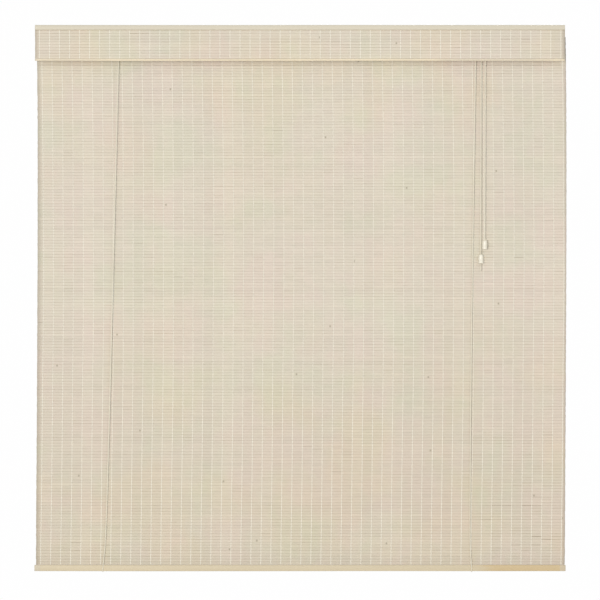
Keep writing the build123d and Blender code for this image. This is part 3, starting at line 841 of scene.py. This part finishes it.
def cord_line(points, steps):
    """The smooth line through a route's control points, in metres, as an array of points."""
    curve = bpy.data.curves.new("route", "CURVE")
    curve.dimensions = "3D"
    spline = curve.splines.new("NURBS")
    spline.points.add(len(points) - 1)
    for point, place in zip(spline.points, points):
        point.co = (*(value * MM for value in place), 1.0)
    spline.order_u = 3
    spline.use_endpoint_u = True
    spline.resolution_u = steps
    holder = placed("route", curve)
    bpy.context.view_layer.update()
    drawn = bpy.data.meshes.new_from_object(holder)
    line = np.array([vertex.co[:] for vertex in drawn.vertices])
    bpy.data.objects.remove(holder)
    bpy.data.meshes.remove(drawn)
    bpy.data.curves.remove(curve)
    return line


def spaced(line, gap):
    """The line's points set out again at even steps of about this gap, and how far along each is."""
    step = np.linalg.norm(np.diff(line, axis=0), axis=1)
    run = np.concatenate([[0.0], np.cumsum(step)])
    places = np.linspace(0.0, run[-1], max(2, round(run[-1] / gap) + 1))
    return np.stack([np.interp(places, run, line[:, i]) for i in range(3)], -1), places


def braided(name, line, finish, gap=BRAID_STEP, radius=None, **facts):
    """A braided tube along a line: two sets of strands cross round it. Gives it and its middle line."""
    radius = radius or sizes().cord_diameter / 2
    depth = sizes().braid_depth
    line, along = spaced(line, gap)
    ahead = np.gradient(line, axis=0)
    ahead /= np.linalg.norm(ahead, axis=1)[:, None]
    side = np.empty_like(line)
    side[0] = np.cross(ahead[0], (0.0, 1.0, 0.0))
    if np.linalg.norm(side[0]) < 0.2:
        side[0] = np.cross(ahead[0], (1.0, 0.0, 0.0))
    for i in range(len(line)):
        carried = side[max(i - 1, 0)]
        carried = carried - ahead[i] * carried.dot(ahead[i])
        side[i] = carried / np.linalg.norm(carried)
    front = np.cross(ahead, side)
    a = round_angles(10)
    lay = (along * 2 * math.pi / BRAID_LAY)[:, None]
    strand = np.maximum(np.cos(2 * a + lay), np.cos(2 * a - lay))
    r = radius * (1 - depth * 0.5 + depth * 0.5 * strand)
    points = line[:, None, :] + r[..., None] * (
        np.cos(a)[..., None] * side[:, None, :] + np.sin(a)[..., None] * front[:, None, :]
    )
    piece = round_bar(name, points, finish, **facts)
    store(piece.data, "lay", np.stack(np.broadcast_arrays(along[:, None], np.cos(a), np.sin(a)), -1))
    return piece, line


def knot_line(centre, size):
    """A small tight overhand knot, open where its two ends come out."""
    t = np.linspace(0.25, 2 * math.pi - 0.25, 90)
    x = np.sin(t) + 2 * np.sin(2 * t)
    y = np.cos(t) - 2 * np.cos(2 * t)
    z = -1.35 * np.sin(3 * t)
    return np.stack([x, y, z], -1) * size + centre


# Control points of the cords' routes, in millimetres. Loops start at a screw eye, go down the back,
# turn under the batten and come up the front to a pulley.
LEFT_LOOP = [
    (-410.0, -4.9, -6.83), (-447.0, -5.0, -1210.8), (-447.0, -5.0, -1222.8), (-447.0, -19.0, -1222.8),
    (-446.6, -19.0, -1210.8), (-438.0, -19.2, -1126.5), (-412.5, -28.55, -115.7), (-410.0, -29.5, -19.4),
]
RIGHT_LOOP = [
    (399.0, -4.9, -6.83), (389.4, -5.0, -1210.8), (389.4, -5.0, -1222.8), (389.4, -19.0, -1222.8),
    (389.1, -19.0, -1210.8), (384.6, -18.9, -1150.6), (389.6, -20.95, -597.0), (399.0, -24.0, -19.4),
]
LEFT_HEAD = [
    (-410.0, -29.5, -19.4), (-410.0, -29.5, -13.4), (-398.0, -29.5, -13.4),
    (408.0, -29.5, -13.4), (420.0, -29.5, -13.4), (420.0, -29.5, -19.4),
]
RIGHT_HEAD = [(399.0, -24.0, -19.4), (399.0, -24.0, -13.4), (411.0, -24.0, -13.4), (411.0, -24.0, -19.4)]
UPPER_PULL = [(420.0, -29.5, -19.4), (418.6, -29.5, -476.0)]
LOWER_PULL = [(411.0, -24.0, -19.4), (410.1, -24.0, -508.1)]


# ---------------- operators


class BLIND_OT_weave_mat(bpy.types.Operator):
    """Weaves the hanging mat: its slats in bands, and the warp yarns that bind them."""

    bl_idname = "blind.weave_mat"
    bl_label = "Weave the mat"

    def execute(self, context):
        panel = mat_panel()
        finish = bamboo_finish("bamboo_slats_woven")
        facts = {"slot": "bamboo_slats", "replaces": ["mat_slats"]}
        for i, (first, last) in enumerate(bands(panel.rows, 8)):
            piece = weave_slats(f"mat_band_{i + 1}", panel, first, last, finish, **facts)
            hang_with_mat(piece, MAT_HELD_AT, MAT_LOW[2])
        finish = yarn_finish("warp_yarn")
        facts = {"slot": "cotton_thread", "replaces": ["mat_threads"]}
        for i, (first, last) in enumerate(bands(len(panel.yarns), 6)):
            piece = weave_yarns(f"mat_yarns_{i + 1}", panel, first, last, finish, **facts)
            hang_with_mat(piece, MAT_HELD_AT, MAT_LOW[2])
        return {"FINISHED"}


class BLIND_OT_weave_valance(bpy.types.Operator):
    """Weaves the valance, and puts the lath along its top and the reed along its bottom edge."""

    bl_idname = "blind.weave_valance"
    bl_label = "Weave the valance"

    def execute(self, context):
        panel = valance_panel()
        finish = bamboo_finish("bamboo_slats_valance")
        facts = {"body": HEAD, "slot": "bamboo_slats", "replaces": ["valance_slats"]}
        weave_slats("valance_weave", panel, 0, panel.rows, finish, **facts)
        finish = yarn_finish("valance_yarn")
        facts = {"body": HEAD, "slot": "cotton_thread", "replaces": ["valance_threads"]}
        facts["top"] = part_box("valance_strip")[0][2] + 1 * MM
        facts["back_stop"] = VALANCE_HIGH[1] - 0.1 * MM
        weave_yarns("valance_yarns", panel, 0, len(panel.yarns), finish, **facts)
        facts = {"body": HEAD, "slot": "bamboo_strip"}
        finish = lath_finish("bamboo_lath_front", colours().lath, grain=20.0, strength=0.5)
        lath("valance_top_lath", "valance_strip", 0.98 * MM, finish, 31, waviness=0.1 * MM, **facts)
        reed("valance_reed", "valance_edge_reed", reed_finish("bamboo_reed"), **facts)
        return {"FINISHED"}


class BLIND_OT_shape_battens(bpy.types.Operator):
    """Shapes the two halves of the bottom batten and the lath behind the head."""

    bl_idname = "blind.shape_battens"
    bl_label = "Shape the battens"

    def execute(self, context):
        c = colours()
        for side, tan_from, seed in (("front", 0.40, 41), ("back", -0.15, 43)):
            finish = lath_finish(f"batten_wood_{side}", c.batten, c.batten_tan, tan_from, tip=True)
            facts = {"body": BATTEN, "slot": "batten_wood"}
            lath(f"batten_{side}", f"bottom_batten_{side}", 1.1 * MM, finish, seed, **facts)
        finish = lath_finish("bamboo_lath_back", c.lath, grain=20.0)
        lath("back_lath", "mat_back_strip", 0.8 * MM, finish, 47, body=HEAD, slot="bamboo_strip")
        return {"FINISHED"}


def dress(node, finish, edge):
    """Gives a CAD node its material, and softens its edges a little."""
    piece = frame["nodes"][node]
    for slot in piece.material_slots:
        slot.material = finish
    if edge:
        bevel = piece.modifiers.new("soft_edge", "BEVEL")
        bevel.width = edge
        bevel.segments = 2
        bevel.limit_method = "ANGLE"
        bevel.angle_limit = math.radians(40)


class BLIND_OT_finish_head(bpy.types.Operator):
    """Finishes the head batten and the slats that are clamped at the top and the bottom."""

    bl_idname = "blind.finish_head"
    bl_label = "Finish the head"

    def execute(self, context):
        dress("head_batten", softwood_finish("head_softwood"), 0.5 * MM)
        plain = plain_slat_finish("bamboo_slats_clamped")
        dress("mat_header_slats", plain, 0.2 * MM)
        dress("mat_hem_slats", plain, 0.2 * MM)
        return {"FINISHED"}


PLATES = ("hanger_bracket_left", "hanger_bracket_right", "cord_lock_housing", "left_pulley_housing")
SMALL_STEEL = ("bracket_screws", "housing_screws", "mat_nails", "bottom_batten_nails", "screw_eyes")
SMALL_STEEL += ("left_pulley_axle", "lock_axles", "lock_guide_pins", "lock_roller")
WHEELS = ("left_pulley_wheel", "lock_rear_wheel", "lock_front_wheel")


class BLIND_OT_finish_hardware(bpy.types.Operator):
    """Finishes the brackets, screws, nails, eyes, pulleys and the cord lock."""

    bl_idname = "blind.finish_hardware"
    bl_label = "Finish the hardware"

    def execute(self, context):
        steel, nylon = steel_finish("zinc_plate"), nylon_finish("white_nylon")
        groups = ((PLATES, steel, 0.25 * MM), (SMALL_STEEL, steel, 0.0), (WHEELS, nylon, 0.2 * MM))
        for nodes, finish, edge in groups:
            for node in nodes:
                dress(node, finish, edge)
        return {"FINISHED"}


KNOT_INSET = 3.3 * MM  # from the outer side of the two knots' box to the middle of a knot


class BLIND_OT_string_lift_cords(bpy.types.Operator):
    """Strings the two lift loops, the cord along the head and the knots at the screw eyes."""

    bl_idname = "blind.string_lift_cords"
    bl_label = "String the lift cords"

    def execute(self, context):
        finish = cord_finish("cotton_cord_lift")
        for side, route in (("left", LEFT_LOOP), ("right", RIGHT_LOOP)):
            self.loop(side, route, finish)
        facts = {"body": HEAD, "slot": "cotton_cord"}
        for side, route in (("left", LEFT_HEAD), ("right", RIGHT_HEAD)):
            line = cord_line(route, 60)
            braided(f"head_cord_{side}", line, finish, replaces=[f"{side}_head_cord"], **facts)
        low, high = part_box("anchor_knots")
        _, y, z = middle_of(low, high)
        facts.update(gap=KNOT_STEP, replaces=["anchor_knots"])
        for side, x in (("left", low[0] + KNOT_INSET), ("right", high[0] - KNOT_INSET)):
            braided(f"anchor_knot_{side}", knot_line((x, y, z), 0.72 * MM), finish, **facts)
        return {"FINISHED"}

    def loop(self, side, route, finish):
        """A lift loop in two runs that meet under the batten, each hung from the head."""
        node = f"lift_cord_{side}"
        line = cord_line(route, 220)
        turn = int(line[:, 2].argmin())
        eye, pulley = route[0][2] * MM, route[-1][2] * MM
        for run, stretch, held_at in (("back", line[: turn + 1], eye), ("front", line[turn:], pulley)):
            facts = {"slot": "cotton_cord", "replaces": [node]}
            piece, _ = braided(f"lift_cord_{run}_{side}", stretch, finish, **facts)
            hang_with_mat(piece, held_at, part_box(node)[0][2])


TASSEL_SIDES = 40
# A tassel's wall: radius and height from its top, down the outside and up the inside, in millimetres
TASSEL_PROFILE = [
    (1.5, 0.0), (3.2, 0.0), (4.3, -0.2), (4.95, -0.75), (5.3, -1.7), (5.6, -3.2), (5.75, -4.8), (5.8, -6.4),
    (5.8, -14.8), (5.62, -15.1), (5.62, -15.5), (5.8, -15.8), (5.8, -19.2), (5.68, -19.75), (5.35, -20.0),
    (4.9, -19.95), (4.6, -19.5), (4.5, -18.0), (4.5, -6.0), (4.1, -5.2), (3.0, -5.0), (1.5, -5.0),
]


class BLIND_OT_hang_pull_cords(bpy.types.Operator):
    """Hangs the two pull cords with their tassels and knots."""

    bl_idname = "blind.hang_pull_cords"
    bl_label = "Hang the pull cords"

    def execute(self, context):
        cotton = cord_finish("cotton_cord_pull")
        ivory = ivory_finish("ivory_plastic")
        for which, route in (("upper", UPPER_PULL), ("lower", LOWER_PULL)):
            body = f"{which}_tassel"
            hung = self.tassel(which, body, cotton, ivory)
            facts = {"slot": "cotton_cord", "replaces": [f"pull_cord_{which}"]}
            piece, path = braided(f"pull_cord_braid_{which}", cord_line(route, 300), cotton, **facts)
            start, end = path[0], path[-1]
            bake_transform(piece)
            float(np.linalg.norm(end - start))
        return {"FINISHED"}

    def tassel(self, which, body, cotton, ivory):
        """A turned bell, the knot inside it and the cord's short tail below the knot."""
        low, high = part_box(f"tassel_{which}")
        x, y, _ = middle_of(low, high)
        profile = np.array(TASSEL_PROFILE) * MM
        rings = spin(profile, (x, y, high[2]), TASSEL_SIDES)
        faces = skin(len(profile), TASSEL_SIDES, closed=True)
        facts = {"body": body, "slot": "tassel_plastic", "replaces": [f"tassel_{which}"]}
        bell = mesh_piece(f"tassel_bell_{which}", rings, faces, ivory, **facts)

        knot_low, knot_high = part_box(f"tassel_knot_{which}")
        line = knot_line((x, y, knot_high[2] - 3.0 * MM), 0.66 * MM)
        facts = {"body": body, "slot": "cotton_cord"}
        replaced = [f"tassel_knot_{which}"]
        tie, _ = braided(f"tassel_tie_{which}", line, cotton, gap=KNOT_STEP, replaces=replaced, **facts)
        route = [
            (x / MM, y / MM, knot_high[2] / MM - 4.5),
            (x / MM + 0.6, y / MM, (knot_high[2] + knot_low[2]) / 2 / MM),
            (x / MM - 0.5, y / MM + 0.3, knot_low[2] / MM + 0.6),
        ]
        line = cord_line(route, 30)
        tail, _ = braided(f"tassel_tail_{which}", line, cotton, gap=1.0 * MM, radius=0.95 * MM, **facts)
        return [bell, tie, tail]


FLOOR_RADIUS, FLOOR_HEIGHT = 5.0, -2.9
AIR_WHITE = (0.995, 0.995, 0.995, 1.0)
AIR_LIGHT, AIR_STRENGTH = (1.0, 0.995, 0.985, 1.0), 0.36
COOL, WARM, NEAR_WHITE = (0.82, 0.93, 1.0), (1.0, 0.965, 0.915), (1.0, 0.985, 0.96)
LAMPS = (
    # name, place, the height on the Z axis that it faces, size, power in watts, colour
    ("front", (-2.2, -15.0, -0.4), -0.6, 3.0, 1125.0, WARM),
    ("key", (2.6, -6.0, 2.6), -0.55, 0.8, 62.0, COOL),
    ("second_key", (-2.6, -6.0, 2.4), -0.55, 0.8, 30.0, COOL),
    ("rear", (1.5, 5.0, 3.2), -0.7, 3.0, 260.0, NEAR_WHITE),
)
CAMERA_DISTANCE, CAMERA_HEIGHT = 14.0, -606.6 * MM
SEEN_WIDTH, SENSOR_WIDTH = 1.3584, 36.0  # metres seen at the valance's front, and millimetres


class BLIND_OT_set_stage(bpy.types.Operator):
    """Sets the floor, the lights, the white surround and the camera."""

    bl_idname = "blind.set_stage"
    bl_label = "Set the stage"

    def execute(self, context):
        scene = context.scene
        turn = round_angles(96)
        height = np.full(len(turn), FLOOR_HEIGHT)
        rim = np.stack([FLOOR_RADIUS * np.cos(turn), FLOOR_RADIUS * np.sin(turn), height], -1)
        floor = mesh_piece("floor", rim, [list(range(len(turn)))], floor_finish("pale_floor"), smooth=False)
        self.surround(scene)
        for lamp in LAMPS:
            self.lamp(*lamp)
        self.camera(scene)
        return {"FINISHED"}

    def surround(self, scene):
        """White wherever the camera looks, and softer as a light."""
        world = bpy.data.worlds.new("white_surround")
        scene.world = world
        world.use_nodes = True
        tree = world.node_tree
        tree.nodes.clear()
        seen, lit = (tree.nodes.new("ShaderNodeBackground") for _ in range(2))
        seen.inputs["Color"].default_value = AIR_WHITE
        lit.inputs["Color"].default_value = AIR_LIGHT
        lit.inputs["Strength"].default_value = AIR_STRENGTH
        path = tree.nodes.new("ShaderNodeLightPath")
        mix = tree.nodes.new("ShaderNodeMixShader")
        out = tree.nodes.new("ShaderNodeOutputWorld")
        tree.links.new(path.outputs["Is Camera Ray"], mix.inputs[0])
        tree.links.new(lit.outputs[0], mix.inputs[1])
        tree.links.new(seen.outputs[0], mix.inputs[2])
        tree.links.new(mix.outputs[0], out.inputs["Surface"])
        scene.view_settings.view_transform = "Standard"
        scene.view_settings.look = "None"

    def lamp(self, name, place, aim_height, size, power, colour):
        """A soft square lamp that faces a point of the Z axis."""
        light = bpy.data.lights.new(name, "AREA")
        light.shape = "SQUARE"
        light.size = size
        light.energy = power
        light.color = colour
        lamp = placed(name, light)
        lamp.visible_camera = False
        lamp.location = place
        away = lamp.location - type(lamp.location)((0.0, 0.0, aim_height))
        lamp.rotation_mode = "QUATERNION"
        lamp.rotation_quaternion = away.to_track_quat("Z", "Y")

    def camera(self, scene):
        """Level and square to the blind, from well back."""
        lens = bpy.data.cameras.new("camera")
        lens.sensor_width = SENSOR_WIDTH
        lens.lens = SENSOR_WIDTH * CAMERA_DISTANCE / SEEN_WIDTH
        lens.clip_start, lens.clip_end = 0.1, 100.0
        camera = placed("camera", lens)
        camera.location = (0.0, VALANCE_LOW[1] - CAMERA_DISTANCE, CAMERA_HEIGHT)
        camera.rotation_euler = (math.radians(90), 0.0, 0.0)
        scene.camera = camera


STEPS = (
    BLIND_OT_set_stage,
    BLIND_OT_string_lift_cords,
    BLIND_OT_hang_pull_cords,
    BLIND_OT_weave_mat,
    BLIND_OT_weave_valance,
    BLIND_OT_shape_battens,
    BLIND_OT_finish_head,
    BLIND_OT_finish_hardware,
)


class BLIND_PT_panel(bpy.types.Panel):
    """Lists the blind's settings and the steps that make it."""

    bl_idname = "BLIND_PT_panel"
    bl_label = "Bamboo blind"
    bl_space_type = "VIEW_3D"
    bl_region_type = "UI"
    bl_category = "Blind"

    def draw(self, context):
        for group in (context.scene.blind_sizes, context.scene.blind_colours):
            box = self.layout.box()
            for key in group.__annotations__:
                box.prop(group, key)
        for step in STEPS:
            self.layout.operator(step.bl_idname)


CLASSES = (BlindSizes, BlindColours, *STEPS, BLIND_PT_panel)


def register():
    for cls in CLASSES:
        bpy.utils.register_class(cls)
    bpy.types.Scene.blind_sizes = bpy.props.PointerProperty(type=BlindSizes)
    bpy.types.Scene.blind_colours = bpy.props.PointerProperty(type=BlindColours)


def unregister():
    del bpy.types.Scene.blind_colours
    del bpy.types.Scene.blind_sizes
    for cls in reversed(CLASSES):
        bpy.utils.unregister_class(cls)


def main():
    register()
    bpy.ops.blind.set_stage()
    bpy.ops.blind.string_lift_cords()
    bpy.ops.blind.hang_pull_cords()
    bpy.ops.blind.weave_mat()
    bpy.ops.blind.weave_valance()
    bpy.ops.blind.shape_battens()
    bpy.ops.blind.finish_head()
    bpy.ops.blind.finish_hardware()


if __name__ == "__main__":
    main()
